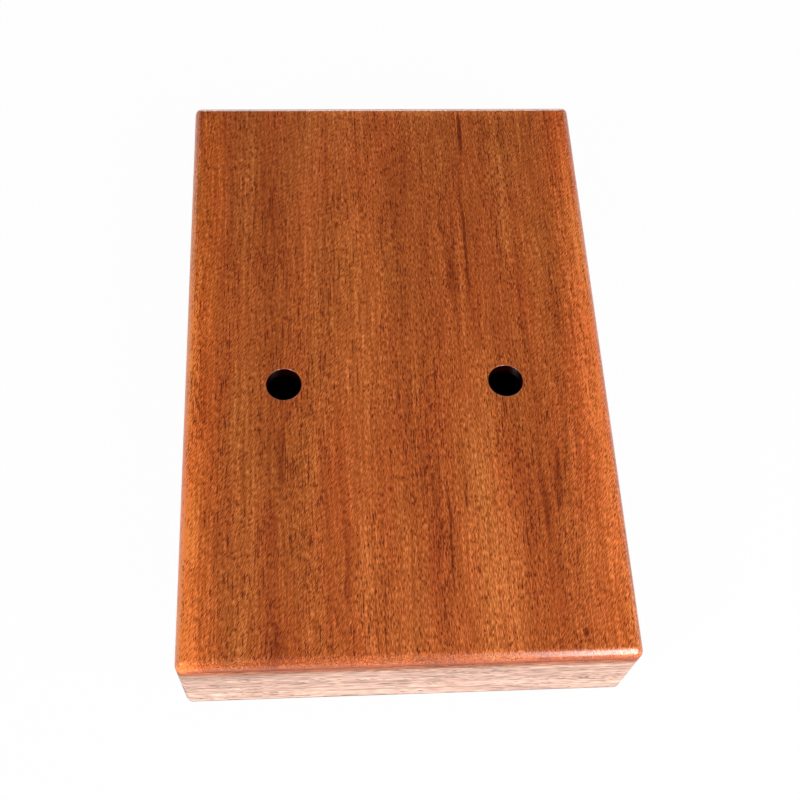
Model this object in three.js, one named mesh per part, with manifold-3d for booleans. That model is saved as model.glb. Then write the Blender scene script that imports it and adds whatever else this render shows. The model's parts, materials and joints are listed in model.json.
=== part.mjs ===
// A seventeen-key box kalimba (thumb piano), lying face down with its back up.
//
// Units are millimetres and +Z is up. The instrument is built in its playing position, with the tines
// on top, the head end (bridge) towards +Y and the tail end (tine tips) towards -Y. Left and right are
// the player's. The finished instrument is then turned over about Y, so that it lies on its screw
// heads and longest tine, and the origin is on that surface, under the middle of the box.

import * as THREE from "three";
import { mergeVertices } from "three/addons/utils/BufferGeometryUtils.js";
import Module from "manifold-3d";

// Sound box
const BODY_WIDTH = 122;
const BODY_LENGTH = 185;
const BODY_DEPTH = 35; // over both boards
const BACK_THICKNESS = 4;
const SOUNDBOARD_THICKNESS = 3;
const WALL_THICKNESS = 9;
const EDGE_ROUND = 3; // radius of the round-over along the edges of both boards
const CORNER_RADIUS = 2; // upright corners of the box
const GLUE_LINE = 0.1; // film of glue in each wood joint

// Holes in the boards
const SOUND_HOLE_DIAMETER = 36;
const SOUND_HOLE_FROM_TAIL = 66;
const BACK_HOLE_DIAMETER = 10; // covered and opened by a fingertip for vibrato
const BACK_HOLE_SPACING = 64;
const BACK_HOLE_FROM_TAIL = 81.9;
const BACK_HOLE_OFFSET = 0.7; // the pair sits a little to the right of the middle

// Tines: spring steel strips, one for each note
const TINE_THICKNESS = 1.2;
const TINE_WIDTH = 4.2;
const TINE_PITCH = 6;
const TINE_RISE_DEG = 4.4; // slope up from the bridge to the tips
const TINE_TAIL = 10; // stands out behind the rear rod
const LONGEST_TINE = 61; // free length of the lowest note, from the saddle rod to the tip
const TIP_WIDTH = 5;
const TIP_FLAT = 7; // length of the widened playing end
const TIP_FLARE = 8; // over which the strip widens
const TIP_BEND_DEG = 10; // the playing end curls up towards the thumb
const TIP_BEND_RADIUS = 65;

// Semitones above the lowest note, from the player's left to right: the longest tine is in the
// middle, and the scale climbs outwards on alternate sides.
const TINE_NOTES = [
  ["d6", 26], ["b5", 23], ["g5", 19], ["e5", 16], ["c5", 12], ["a4", 9], ["f4", 5], ["d4", 2],
  ["c4", 0],
  ["e4", 4], ["g4", 7], ["b4", 11], ["d5", 14], ["f5", 17], ["a5", 21], ["c6", 24], ["e6", 28],
];

// Bridge: a hardwood block with two rods under the tines and a pressure rod across the top
const SADDLE_FROM_HEAD = 50; // axis of the saddle rod to the head end of the box
const SADDLE_HEIGHT = 5.5; // axis of the saddle rod above the soundboard
const SADDLE_ROD_DIAMETER = 4;
const REAR_ROD_DIAMETER = 3;
const PRESSURE_ROD_DIAMETER = 5;
const ROD_SPACING = 12.5; // saddle rod to rear rod
const PRESSURE_OFFSET = 6; // saddle rod to pressure rod
const ROD_CHAMFER = 0.5;
const ROD_SEAT_GAP = 0.1; // between a rod and its groove in the block
const BLOCK_FRONT = 5; // block in front of the saddle rod's axis
const BLOCK_REAR = 4.5; // block behind the rear rod's axis
const BLOCK_VALLEY = 3; // height of the block under the pressure rod
const BLOCK_EDGE_HEIGHT = 3; // height of the block's front and rear faces, below their slopes
const BLOCK_RIDGE = 3.2; // half width of the ridge that carries each rod
const SADDLE_GAP = 0.1; // between the saddle rod and a tine, which rocks on it
const CLAMP_GAP = 0.3; // between a tine and the pressure and rear rods, so that it can rock

// Bridge screws, which pass between the tines
const SCREW_SHANK = 2.4;
const SCREW_HEAD = 4.6;
const SCREW_HEAD_HEIGHT = 1.8;
const SCREW_LENGTH = 22; // under the head
const SCREW_POINT = 3;
const SCREW_CLEARANCE = 0.3; // all round the shank and the head
const SCREW_SLOT_WIDTH = 0.8;
const SCREW_SLOT_DEPTH = 0.9;
const SPOT_FACE_DEPTH = 1; // seat of a screw head in the pressure rod
const SCREW_AFTER_TINES = [2, 6]; // tines from the middle one out to each screw, on both sides
const BRIDGE_END = 3; // block beyond the outermost tines

// Brace inside the box, under the bridge, which the screws bite into
const BRACE_WIDTH = 16;
const BRACE_HEIGHT = 8;
const BRACE_CHAMFER = 3;
const BRACE_END_GAP = 1; // between each end of the brace and the side wall

// Facets
const CORNER_SEGMENTS = 5;
const EDGE_SEGMENTS = 4;
const LARGE_HOLE_SEGMENTS = 48;
const SMALL_HOLE_SEGMENTS = 32;
const ROD_SEGMENTS = 24;
const SCREW_SEGMENTS = 16;
const TIP_SEGMENTS = 6;
const CUT_MARGIN = 1; // how far a cutting tool runs past what it cuts

const wasm = await Module();
wasm.setup();

// Places that several pieces share, in the playing position with the back face at z = 0
const half = (size) => size / 2;
const headY = half(BODY_LENGTH);
const tailY = -half(BODY_LENGTH);
const wallBottom = BACK_THICKNESS + GLUE_LINE;
const wallTop = BODY_DEPTH - SOUNDBOARD_THICKNESS - GLUE_LINE;
const faceZ = BODY_DEPTH; // playing face of the soundboard
const rise = THREE.MathUtils.degToRad(TINE_RISE_DEG);

const saddleY = headY - SADDLE_FROM_HEAD;
const saddleZ = faceZ + SADDLE_HEIGHT;
const tineUnder = half(SADDLE_ROD_DIAMETER) + SADDLE_GAP; // from the saddle rod's axis to a tine
const tineOver = tineUnder + TINE_THICKNESS;

// Height of the axis of a rod that lies `behind` the saddle rod, with its axis `above` that rod's
// when it is measured square to the sloping tines
const rodZ = (behind, above) => saddleZ + (above - behind * Math.sin(rise)) / Math.cos(rise);
const rearY = saddleY + ROD_SPACING;
const rearZ = rodZ(ROD_SPACING, tineUnder - CLAMP_GAP - half(REAR_ROD_DIAMETER));
const pressureY = saddleY + PRESSURE_OFFSET;
const pressureZ = rodZ(PRESSURE_OFFSET, tineOver + CLAMP_GAP + half(PRESSURE_ROD_DIAMETER));
const screwSeatZ = pressureZ + half(PRESSURE_ROD_DIAMETER) - SPOT_FACE_DEPTH;

// The tines are evenly spaced, apart from a wider gap where a screw passes between them.
const screwGap = SCREW_SHANK + 2 * SCREW_CLEARANCE;
const gapExtra = Math.max(0, screwGap + TINE_WIDTH - TINE_PITCH);
const middleTine = (TINE_NOTES.length - 1) / 2;
const tineX = (index) => {
  const step = index - middleTine;
  const screwsPassed = SCREW_AFTER_TINES.filter((tines) => Math.abs(step) > tines).length;
  return step * TINE_PITCH + Math.sign(step) * screwsPassed * gapExtra;
};
const [innerScrewX, outerScrewX] = SCREW_AFTER_TINES.map((tines) =>
  half(tineX(middleTine + tines) + tineX(middleTine + tines + 1)),
);
const screwXs = [-outerScrewX, -innerScrewX, innerScrewX, outerScrewX];
const bridgeLength = 2 * (tineX(TINE_NOTES.length - 1) + half(TINE_WIDTH) + BRIDGE_END);
const innerWidth = BODY_WIDTH - 2 * WALL_THICKNESS;

// Materials
const finish = (color, roughness, metalness) =>
  new THREE.MeshStandardMaterial({ color, roughness, metalness });
const mahogany = finish(0xb2602f, 0.35, 0);
const paleMahogany = finish(0xd9ab92, 0.5, 0);
const rosewood = finish(0x4a2a1c, 0.45, 0);
const spruce = finish(0xd2b184, 0.7, 0);
const springSteel = finish(0xb9bcc0, 0.28, 1);
const brightSteel = finish(0xc9ccd0, 0.18, 1);

// Solids: joining and cutting closed geometries
function toSolid(geometry) {
  const bare = geometry.clone();
  bare.deleteAttribute("normal");
  bare.deleteAttribute("uv");
  const merged = mergeVertices(bare);
  return new wasm.Manifold(
    new wasm.Mesh({
      numProp: 3,
      vertProperties: merged.attributes.position.array,
      triVerts: new Uint32Array(merged.index.array),
    }),
  );
}

function toGeometry(solid) {
  const { vertProperties, triVerts } = solid.getMesh();
  const geometry = new THREE.BufferGeometry();
  geometry.setAttribute("position", new THREE.BufferAttribute(vertProperties, 3));
  geometry.setIndex(new THREE.BufferAttribute(triVerts, 1));
  geometry.computeVertexNormals();
  return geometry;
}

const cut = (geometry, tools) =>
  toGeometry(tools.reduce((solid, tool) => solid.subtract(toSolid(tool)), toSolid(geometry)));
const common = (a, b) => toGeometry(toSolid(a).intersect(toSolid(b)));

// Basic forms
const ACROSS = new THREE.Matrix4().makeBasis(
  new THREE.Vector3(0, 1, 0),
  new THREE.Vector3(0, 0, 1),
  new THREE.Vector3(1, 0, 0),
); // turns a profile drawn in (y, z) so that it is extruded along X

function block(sizeX, sizeY, sizeZ, x, y, z) {
  return new THREE.BoxGeometry(sizeX, sizeY, sizeZ).translate(x, y, z);
}

// A profile drawn in (y, z), extruded along X about the middle
function extrudeAcross(profile, length, curveSegments) {
  const shape = { depth: length, bevelEnabled: false, curveSegments };
  return new THREE.ExtrudeGeometry(profile, shape).translate(0, 0, -half(length)).applyMatrix4(ACROSS);
}

// An outline drawn in (x, y), extruded upwards
function extrudeUp(outline, bottom, top, curveSegments) {
  const shape = { depth: top - bottom, bevelEnabled: false, curveSegments };
  return new THREE.ExtrudeGeometry(outline, shape).translate(0, 0, bottom);
}

// A drill along Z
function drill(diameter, x, y, bottom, top, segments) {
  const height = top - bottom;
  const geometry = new THREE.CylinderGeometry(half(diameter), half(diameter), height, segments);
  return geometry.rotateX(Math.PI / 2).translate(x, y, bottom + half(height));
}

// A round rod along X, chamfered at its ends
function rod(diameter, length, y, z) {
  const radius = half(diameter);
  const end = half(length);
  const profile = [
    [0, -end], [radius - ROD_CHAMFER, -end], [radius, -end + ROD_CHAMFER],
    [radius, end - ROD_CHAMFER], [radius - ROD_CHAMFER, end], [0, end],
  ].map(([across, along]) => new THREE.Vector2(across, along));
  return new THREE.LatheGeometry(profile, ROD_SEGMENTS).rotateZ(-Math.PI / 2).translate(0, y, z);
}

// Sound box
function roundedRectangle(width, length, radius) {
  const right = half(width);
  const top = half(length);
  const outline = new THREE.Shape();
  outline.moveTo(right, -top + radius);
  outline.absarc(right - radius, top - radius, radius, 0, Math.PI / 2);
  outline.absarc(-right + radius, top - radius, radius, Math.PI / 2, Math.PI);
  outline.absarc(-right + radius, -top + radius, radius, Math.PI, 1.5 * Math.PI);
  outline.absarc(right - radius, -top + radius, radius, 1.5 * Math.PI, 2 * Math.PI);
  return outline;
}

// The section of a board with its glue face at z = 0 and both upper edges rounded over
function roundedSection(width, thickness) {
  const edge = Math.min(EDGE_ROUND, thickness - GLUE_LINE);
  const side = half(width);
  const section = new THREE.Shape();
  section.moveTo(-side, 0);
  section.lineTo(side, 0);
  section.absarc(side - edge, thickness - edge, edge, 0, Math.PI / 2);
  section.absarc(-side + edge, thickness - edge, edge, Math.PI / 2, Math.PI);
  return section;
}

// The round-overs of the long and the short edges meet in a mitre at each corner.
function roundedBoard(thickness) {
  const overLength = BODY_LENGTH + CUT_MARGIN;
  const overWidth = BODY_WIDTH + CUT_MARGIN;
  const alongEdges = extrudeAcross(roundedSection(BODY_WIDTH, thickness), overLength, EDGE_SEGMENTS);
  const acrossEdges = extrudeAcross(roundedSection(BODY_LENGTH, thickness), overWidth, EDGE_SEGMENTS);
  const outline = roundedRectangle(BODY_WIDTH, BODY_LENGTH, CORNER_RADIUS);
  const plan = extrudeUp(outline, -CUT_MARGIN, thickness + CUT_MARGIN, CORNER_SEGMENTS);
  return common(common(alongEdges.rotateZ(Math.PI / 2), acrossEdges), plan);
}

function backBoard() {
  const board = roundedBoard(BACK_THICKNESS).rotateY(Math.PI).translate(0, 0, BACK_THICKNESS);
  const holeY = tailY + BACK_HOLE_FROM_TAIL;
  const high = BACK_THICKNESS + CUT_MARGIN;
  const holes = [-half(BACK_HOLE_SPACING), half(BACK_HOLE_SPACING)].map((x) =>
    drill(BACK_HOLE_DIAMETER, x + BACK_HOLE_OFFSET, holeY, -CUT_MARGIN, high, SMALL_HOLE_SEGMENTS),
  );
  return cut(board, holes);
}

function soundboard() {
  const bottom = faceZ - SOUNDBOARD_THICKNESS;
  const low = bottom - CUT_MARGIN;
  const high = faceZ + CUT_MARGIN;
  const holeY = tailY + SOUND_HOLE_FROM_TAIL;
  const soundHole = drill(SOUND_HOLE_DIAMETER, 0, holeY, low, high, LARGE_HOLE_SEGMENTS);
  const board = roundedBoard(SOUNDBOARD_THICKNESS).translate(0, 0, bottom);
  return cut(board, [soundHole, ...screwDrills(low, high)]);
}

// An end wall runs over the full width, with the box's two upright corners on it.
// `end` is 1 at the head and -1 at the tail.
function endWall(end) {
  const inner = headY - WALL_THICKNESS;
  const right = half(BODY_WIDTH);
  const outline = new THREE.Shape();
  outline.moveTo(-right, inner);
  outline.lineTo(right, inner);
  outline.absarc(right - CORNER_RADIUS, headY - CORNER_RADIUS, CORNER_RADIUS, 0, Math.PI / 2);
  outline.absarc(-right + CORNER_RADIUS, headY - CORNER_RADIUS, CORNER_RADIUS, Math.PI / 2, Math.PI);
  const wall = extrudeUp(outline, wallBottom, wallTop, CORNER_SEGMENTS);
  return end > 0 ? wall : wall.rotateZ(Math.PI);
}

// A side wall fits between the two end walls. `side` is 1 on the right and -1 on the left.
function sideWall(side) {
  const length = BODY_LENGTH - 2 * (WALL_THICKNESS + GLUE_LINE);
  const x = side * half(BODY_WIDTH - WALL_THICKNESS);
  return block(WALL_THICKNESS, length, wallTop - wallBottom, x, 0, half(wallBottom + wallTop));
}

// Glued across the inside of the soundboard, with its lower edges eased
function bridgeBrace() {
  const top = faceZ - SOUNDBOARD_THICKNESS - GLUE_LINE;
  const bottom = top - BRACE_HEIGHT;
  const side = half(BRACE_WIDTH);
  const profile = new THREE.Shape();
  profile.moveTo(pressureY - side, top);
  profile.lineTo(pressureY - side, bottom + BRACE_CHAMFER);
  profile.lineTo(pressureY - side + BRACE_CHAMFER, bottom);
  profile.lineTo(pressureY + side - BRACE_CHAMFER, bottom);
  profile.lineTo(pressureY + side, bottom + BRACE_CHAMFER);
  profile.lineTo(pressureY + side, top);
  const bar = extrudeAcross(profile, innerWidth - 2 * BRACE_END_GAP);
  return cut(bar, screwDrills(bottom - CUT_MARGIN, top + CUT_MARGIN));
}

// Bridge
function screwDrills(bottom, top) {
  return screwXs.map((x) => drill(screwGap, x, pressureY, bottom, top, SCREW_SEGMENTS));
}

// The block's section: a ridge with a round groove for each rod, and a valley between them
function bridgeBlock() {
  const bottom = faceZ + GLUE_LINE;
  const shoulder = faceZ + BLOCK_EDGE_HEIGHT;
  const valley = faceZ + BLOCK_VALLEY;
  const profile = new THREE.Shape();
  profile.moveTo(saddleY - BLOCK_FRONT, bottom);
  profile.lineTo(rearY + BLOCK_REAR, bottom);
  profile.lineTo(rearY + BLOCK_REAR, shoulder);
  profile.lineTo(rearY + BLOCK_RIDGE, rearZ);
  profile.lineTo(rearY - BLOCK_RIDGE, rearZ);
  profile.quadraticCurveTo(pressureY + BLOCK_RIDGE, valley, pressureY, valley);
  profile.quadraticCurveTo(saddleY + BLOCK_RIDGE, valley, saddleY + BLOCK_RIDGE, saddleZ);
  profile.lineTo(saddleY - BLOCK_RIDGE, saddleZ);
  profile.lineTo(saddleY - BLOCK_FRONT, shoulder);
  const grooveLength = bridgeLength + 2 * CUT_MARGIN;
  const grooves = [
    rod(SADDLE_ROD_DIAMETER + 2 * ROD_SEAT_GAP, grooveLength, saddleY, saddleZ),
    rod(REAR_ROD_DIAMETER + 2 * ROD_SEAT_GAP, grooveLength, rearY, rearZ),
  ];
  const drills = screwDrills(bottom - CUT_MARGIN, saddleZ);
  return cut(extrudeAcross(profile, bridgeLength, CORNER_SEGMENTS), [...grooves, ...drills]);
}

const saddleRod = () => rod(SADDLE_ROD_DIAMETER, bridgeLength, saddleY, saddleZ);
const rearRod = () => rod(REAR_ROD_DIAMETER, bridgeLength, rearY, rearZ);

// The pressure rod has a hole for each screw, and a flat seat for its head.
function pressureRod() {
  const low = pressureZ - PRESSURE_ROD_DIAMETER;
  const high = pressureZ + PRESSURE_ROD_DIAMETER;
  const seatDiameter = SCREW_HEAD + 2 * SCREW_CLEARANCE;
  const seats = screwXs.map((x) => drill(seatDiameter, x, pressureY, screwSeatZ, high, SCREW_SEGMENTS));
  const bar = rod(PRESSURE_ROD_DIAMETER, bridgeLength, pressureY, pressureZ);
  return cut(bar, [...seats, ...screwDrills(low, high)]);
}

// A domed screw with a cross recess, drawn with the seat of its head at z = 0
function bridgeScrew() {
  const shank = half(SCREW_SHANK);
  const head = half(SCREW_HEAD);
  const dome = half(SCREW_HEAD_HEIGHT);
  const profile = new THREE.Path();
  profile.moveTo(0, -SCREW_LENGTH);
  profile.lineTo(shank, -SCREW_LENGTH + SCREW_POINT);
  profile.lineTo(shank, 0);
  profile.lineTo(head, 0);
  profile.lineTo(head, dome);
  profile.quadraticCurveTo(head, SCREW_HEAD_HEIGHT, half(head), SCREW_HEAD_HEIGHT);
  profile.lineTo(0, SCREW_HEAD_HEIGHT);
  const points = profile.getPoints(CORNER_SEGMENTS);
  const turned = new THREE.LatheGeometry(points, SCREW_SEGMENTS).rotateX(Math.PI / 2);
  const slotZ = SCREW_HEAD_HEIGHT + half(CUT_MARGIN) - half(SCREW_SLOT_DEPTH);
  const slotHeight = SCREW_SLOT_DEPTH + CUT_MARGIN;
  return cut(turned, [
    block(head, SCREW_SLOT_WIDTH, slotHeight, 0, 0, slotZ),
    block(SCREW_SLOT_WIDTH, head, slotHeight, 0, 0, slotZ),
  ]);
}

// Tines, drawn about the saddle rod's axis with y towards the head and z square to the strip

// A clamped strip sounds at a pitch that falls with the square of its free length.
const freeLength = (semitones) => LONGEST_TINE * 2 ** (-semitones / 24);
const tailEnd = ROD_SPACING + TINE_TAIL;

// Side view: a straight strip whose playing end curls up on an arc
function tineProfile(length) {
  const bend = THREE.MathUtils.degToRad(TIP_BEND_DEG);
  const outer = TIP_BEND_RADIUS + TINE_THICKNESS;
  const bendStart = -length + outer * Math.sin(bend);
  const centreZ = tineOver + TIP_BEND_RADIUS;
  const down = -Math.PI / 2;
  const profile = new THREE.Shape();
  profile.moveTo(tailEnd, tineOver);
  profile.lineTo(bendStart, tineOver);
  profile.absarc(bendStart, centreZ, TIP_BEND_RADIUS, down, down - bend, true);
  profile.absarc(bendStart, centreZ, outer, down - bend, down, false);
  profile.lineTo(tailEnd, tineUnder);
  return profile;
}

// Plan view: a parallel strip that widens to a round playing end
function tineOutline(length) {
  const side = half(TINE_WIDTH);
  const tip = half(TIP_WIDTH);
  const roundY = -length + tip;
  const flatY = -length + TIP_FLAT;
  const flareY = flatY + TIP_FLARE;
  const flareMiddle = half(flatY + flareY);
  const outline = new THREE.Shape();
  outline.moveTo(side, tailEnd);
  outline.lineTo(-side, tailEnd);
  outline.lineTo(-side, flareY);
  outline.bezierCurveTo(-side, flareMiddle, -tip, flareMiddle, -tip, flatY);
  outline.absarc(0, roundY, tip, Math.PI, 2 * Math.PI);
  outline.lineTo(tip, flatY);
  outline.bezierCurveTo(tip, flareMiddle, side, flareMiddle, side, flareY);
  return outline;
}

function tine(length) {
  const bar = extrudeAcross(tineProfile(length), TIP_WIDTH + CUT_MARGIN, TIP_SEGMENTS);
  bar.computeBoundingBox();
  const { min, max } = bar.boundingBox;
  const low = min.z - CUT_MARGIN;
  const high = max.z + CUT_MARGIN;
  return common(bar, extrudeUp(tineOutline(length), low, high, TIP_SEGMENTS));
}

// Assembly
function addPiece(group, name, geometry, material) {
  const mesh = new THREE.Mesh(geometry, material);
  mesh.name = name;
  group.add(mesh);
  return mesh;
}

const instrument = new THREE.Group();
addPiece(instrument, "back_board", backBoard(), mahogany);
addPiece(instrument, "soundboard", soundboard(), mahogany);
addPiece(instrument, "head_wall", endWall(1), paleMahogany);
addPiece(instrument, "tail_wall", endWall(-1), paleMahogany);
addPiece(instrument, "left_wall", sideWall(-1), paleMahogany);
addPiece(instrument, "right_wall", sideWall(1), paleMahogany);
addPiece(instrument, "bridge_brace", bridgeBrace(), spruce);
addPiece(instrument, "bridge_block", bridgeBlock(), rosewood);
addPiece(instrument, "saddle_rod", saddleRod(), brightSteel);
addPiece(instrument, "rear_rod", rearRod(), brightSteel);
addPiece(instrument, "pressure_rod", pressureRod(), brightSteel);

const screwNames = ["outer_left", "inner_left", "inner_right", "outer_right"];
screwXs.forEach((x, index) => {
  const screw = addPiece(instrument, `bridge_screw_${screwNames[index]}`, bridgeScrew(), brightSteel);
  screw.position.set(x, pressureY, screwSeatZ);
});

const tineDeck = new THREE.Group();
tineDeck.position.set(0, saddleY, saddleZ);
tineDeck.rotation.x = -rise;
instrument.add(tineDeck);
TINE_NOTES.forEach(([note, semitones], index) => {
  const strip = addPiece(tineDeck, `tine_${note}`, tine(freeLength(semitones)), springSteel);
  strip.position.x = tineX(index);
});

// Turned over, and lifted until the highest point of the playing side is at z = 0
const highest = new THREE.Box3().setFromObject(instrument).max.z;
instrument.rotation.y = Math.PI;
instrument.position.z = highest;

const kalimba = new THREE.Group();
kalimba.add(instrument);

export default kalimba;
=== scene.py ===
import json
import math

import bmesh
import bpy
from mathutils import Matrix, Vector


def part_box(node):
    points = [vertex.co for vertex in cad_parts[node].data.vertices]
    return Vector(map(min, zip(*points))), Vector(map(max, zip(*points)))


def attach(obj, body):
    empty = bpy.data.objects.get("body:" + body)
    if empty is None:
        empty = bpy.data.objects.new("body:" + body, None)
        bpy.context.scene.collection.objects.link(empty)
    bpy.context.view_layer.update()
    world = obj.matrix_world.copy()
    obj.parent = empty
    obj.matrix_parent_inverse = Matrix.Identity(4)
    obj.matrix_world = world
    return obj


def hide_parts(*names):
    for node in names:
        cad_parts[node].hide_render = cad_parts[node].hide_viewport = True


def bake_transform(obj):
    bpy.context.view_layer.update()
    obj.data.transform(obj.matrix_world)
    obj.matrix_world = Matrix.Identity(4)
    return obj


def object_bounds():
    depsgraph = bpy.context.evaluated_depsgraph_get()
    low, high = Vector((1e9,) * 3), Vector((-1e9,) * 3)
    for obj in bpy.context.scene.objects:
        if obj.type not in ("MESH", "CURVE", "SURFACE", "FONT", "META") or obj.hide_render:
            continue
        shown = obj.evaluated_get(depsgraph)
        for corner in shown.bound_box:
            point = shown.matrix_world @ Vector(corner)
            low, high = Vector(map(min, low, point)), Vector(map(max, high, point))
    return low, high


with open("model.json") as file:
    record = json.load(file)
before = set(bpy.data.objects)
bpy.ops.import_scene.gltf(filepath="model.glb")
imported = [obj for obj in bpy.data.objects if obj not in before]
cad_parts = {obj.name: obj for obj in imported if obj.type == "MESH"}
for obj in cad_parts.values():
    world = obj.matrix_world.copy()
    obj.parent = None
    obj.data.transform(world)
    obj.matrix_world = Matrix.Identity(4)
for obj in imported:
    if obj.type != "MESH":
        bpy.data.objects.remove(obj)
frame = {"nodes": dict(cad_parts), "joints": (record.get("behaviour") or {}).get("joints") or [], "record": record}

CAD_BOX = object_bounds()
MM = 0.001
QUARTER_TURN = math.radians(90)

# Wooden boards, in millimetres
EDGE_ROUND = 3.0        # round-over along the outer edges of the back board
FACE_ROUND = 2.9        # the same on the thinner soundboard
CORNER_RADIUS = 2.0     # upright corners of the box
MITRE_SOFTENING = 0.4   # where two round-overs meet at a corner
GLUE_EDGE_EASE = 0.12   # eased edge along a glue joint
HOLE_EASE = 0.35        # eased rim of a drilled hole
WALL_EASE = 0.2         # upright edges of the walls, but for the corners of the box
LARGE_EASE = 1.0        # an edge eased by more than this gets the facets of a round-over
BACK_HOLE_RADIUS = 5.0
SOUND_HOLE_RADIUS = 18.0
SCREW_HOLE_RADIUS = 1.5

# Tines, in millimetres, in a plane that slopes up from the saddle rod to the tips
TINE_RISE = math.radians(4.4)
TINE_WIDTH = 4.2
TINE_THICKNESS = 1.2
TINE_TAIL = 22.5        # tail end, behind the saddle rod's axis
TINE_UNDER = 2.1        # underside above the saddle rod's axis, square to the strip
TINE_EDGE = 0.28        # rounding along the strip's edges
TAIL_STATION = 2.0      # from the tail end to the first station of the straight stretch
TIP_WIDTH = 5.0
TIP_FLAT = 7.0          # stretch of full width before the tip
TIP_FLARE = 8.0         # stretch over which the strip widens
TIP_STRETCH = 16.0      # stretch before the tip that has closer stations
TIP_ARC = 87.0          # degrees of the round tip on each side, short of its middle line
TIP_BEND = math.radians(10)
TIP_BEND_RADIUS = 65.0  # on the strip's upper face

# Bridge and screws, in millimetres
ROD_END_ROUND = 0.5
BLOCK_EASE = 0.4
RIDGE_HALF = 3.2        # half width of the ridge that carries a rod
ROD_SEAT_GAP = 0.1      # between a rod and its groove
BLOCK_EDGE_HEIGHT = 3.0
BLOCK_VALLEY = 3.0      # height of the block between its ridges
BLOCK_CUT = 2.0         # reach of the block's bore cutters past the block
SEAT_RADIUS = 2.6       # spot face under a screw head
SEAT_CUT = 4.0          # reach of the pressure rod's cutters below a screw's seat
BORE_CUT = 8.0          # reach of its bore cutters above that seat
HEAD_HEIGHT = 1.8
HEAD_FLAT = 1.15        # radius of the flat on top of a screw head
HEAD_UNDER_RISE = 0.02  # cone that closes a head's underside
HEAD_END_RADIUS = 0.01  # smallest ring at both ends of a head
SHANK_RADIUS = 1.2
SHANK_INSET = 0.001     # the thread's crest lies this far inside the shank's radius
SCREW_POINT = 3.0       # length of the tapered point
POINT_RADIUS = 0.02     # smallest ring at the point, before the thread is cut
THREAD_PITCH = 0.9
THREAD_DEPTH = 0.28
THREAD_FLANK = 2.2      # steepness of a flank; 2 has no flat at the root
CROSS_LENGTH = 2.5
CROSS_WIDTH = 0.72
CROSS_DEPTH = 0.9
CROSS_TAPER = 0.6       # a recess cutter's width at its inner end, as a share of its outer end

# Facets of the rounded forms
EDGE_STEPS = 10
CORNER_STEPS = 8
EASE_STEPS = 4
HOLE_STEPS = 96
ROD_STEPS = 48
GROOVE_STEPS = 20
BEVEL_STEPS = 3
STRIP_STEPS = 8
FLARE_STEPS = 24
TIP_STEPS = 12
SHANK_STEPS = 24
ROWS_PER_TURN = 8       # rings of vertices to a turn of the thread

# Turns in degrees from which an edge is shaded sharp or eased
ROD_SHARP = 40
CARVED_SHARP = 30
BEVEL_FROM = 35
FACE_WEIGHT = 100       # the most that a large face can count for in the normals


# Mesh helpers
def new_object(name, bm, material):
    """A smooth-shaded object from a bmesh in millimetres."""
    bmesh.ops.recalc_face_normals(bm, faces=bm.faces)
    bmesh.ops.scale(bm, vec=(MM, MM, MM), verts=bm.verts)
    mesh = bpy.data.meshes.new(name)
    bm.to_mesh(mesh)
    bm.free()
    mesh.polygons.foreach_set("use_smooth", [True] * len(mesh.polygons))
    mesh.materials.append(material)
    obj = bpy.data.objects.new(name, mesh)
    bpy.context.scene.collection.objects.link(obj)
    return obj


def even_normals(obj):
    """Flat faces keep their own normals, so that only the rounded edges shade."""
    modifier = obj.modifiers.new("even_normals", "WEIGHTED_NORMAL")
    modifier.mode = "FACE_AREA"
    modifier.weight = FACE_WEIGHT
    modifier.keep_sharp = True
    return obj


def sharpen(obj, degrees):
    """Edges that turn by this much or more are shaded sharp."""
    bm = bmesh.new()
    bm.from_mesh(obj.data)
    for edge in bm.edges:
        edge.smooth = len(edge.link_faces) == 2 and edge.calc_face_angle() < math.radians(degrees)
    bm.to_mesh(obj.data)
    bm.free()
    return obj


def ring(bm, points):
    """New vertices at the points."""
    return [bm.verts.new(point) for point in points]


def band(bm, low, high):
    """A closed band of quads between two rings with as many vertices."""
    for i in range(len(low)):
        j = (i + 1) % len(low)
        bm.faces.new((low[i], low[j], high[j], high[i]))


def loft(bm, rings):
    """A band between each ring and the next."""
    for low, high in zip(rings, rings[1:]):
        band(bm, low, high)


def fill(bm, loops, normal):
    """A flat face between an outer loop and the loops of its holes."""
    edges = []
    for loop in loops:
        edges += [bm.edges.get((loop[i], loop[(i + 1) % len(loop)])) for i in range(len(loop))]
    bmesh.ops.triangle_fill(bm, use_beauty=True, use_dissolve=False, edges=edges, normal=normal)


def evenly(start, end, steps):
    """Values from the start to the end, both included."""
    return [start + (end - start) * step / steps for step in range(steps + 1)]


def circle(x, y, radius, steps):
    turns = [2 * math.pi * step / steps for step in range(steps)]
    return [(x + radius * math.cos(t), y + radius * math.sin(t)) for t in turns]


def quadratic(start, bend, end):
    """Pairs on a quadratic curve after the start, up to the end."""
    points = []
    for step in range(1, EDGE_STEPS + 1):
        t = step / EDGE_STEPS
        weights = ((1 - t) ** 2, 2 * t * (1 - t), t ** 2)
        points.append(tuple(sum(w * p[i] for w, p in zip(weights, (start, bend, end))) for i in (0, 1)))
    return points


def quarter(radius, z, towards, steps):
    """(inset, z) pairs of a quarter round that starts on the side at z and ends on the face."""
    angles = [math.radians(90 * step / steps) for step in range(steps + 1)]
    return [(radius * (1 - math.cos(a)), z + towards * radius * math.sin(a)) for a in angles]


def side_levels(low, high, low_ease, high_ease, low_steps, high_steps):
    """(inset, z) pairs from the lower face, up the side and on to the upper face."""
    lower = quarter(low_ease, low + low_ease, -1, low_steps)
    return lower[::-1] + quarter(high_ease, high - high_ease, 1, high_steps)


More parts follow.
